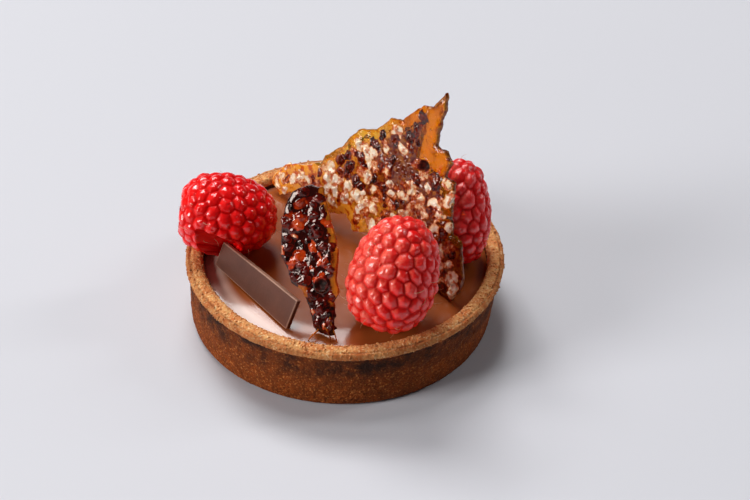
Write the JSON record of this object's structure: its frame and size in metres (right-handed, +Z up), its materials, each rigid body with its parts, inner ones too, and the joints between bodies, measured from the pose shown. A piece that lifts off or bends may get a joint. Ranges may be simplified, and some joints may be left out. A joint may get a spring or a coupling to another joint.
{
  "type": "praline tart",
  "caption": "Round chocolate shortcrust tartlet filled with milk chocolate ganache, topped with raspberries, a dark chocolate stick and shards of nut praline brittle.",
  "frame": {"origin": "middle of the round base, on the surface that the tart stands on", "axes": "+Z up; -Y towards the side with the front raspberry and the chocolate stick; +X towards the right raspberry"},
  "size_m": [0.0779, 0.076, 0.0592],
  "materials": {
    "shortcrust": "baked chocolate shortcrust, matt and grainy, lighter along the rim and darker under the lip",
    "milk_chocolate_ganache": "smooth glossy milk chocolate",
    "dark_chocolate": "satin dark chocolate with scuffed edges",
    "raspberry": "soft moist skin with a faint bloom",
    "praline_brittle": "glossy amber caramel with dark and pale chopped nuts"
  },
  "bodies": {
    "root": {"crust": "shortcrust", "ganache": "milk_chocolate_ganache", "chocolate_stick": "dark_chocolate", "raspberry_left": "raspberry", "raspberry_front": "raspberry", "raspberry_right": "raspberry", "praline_shard_large": "praline_brittle", "praline_shard_small": "praline_brittle"}
  },
  "joints": []
}
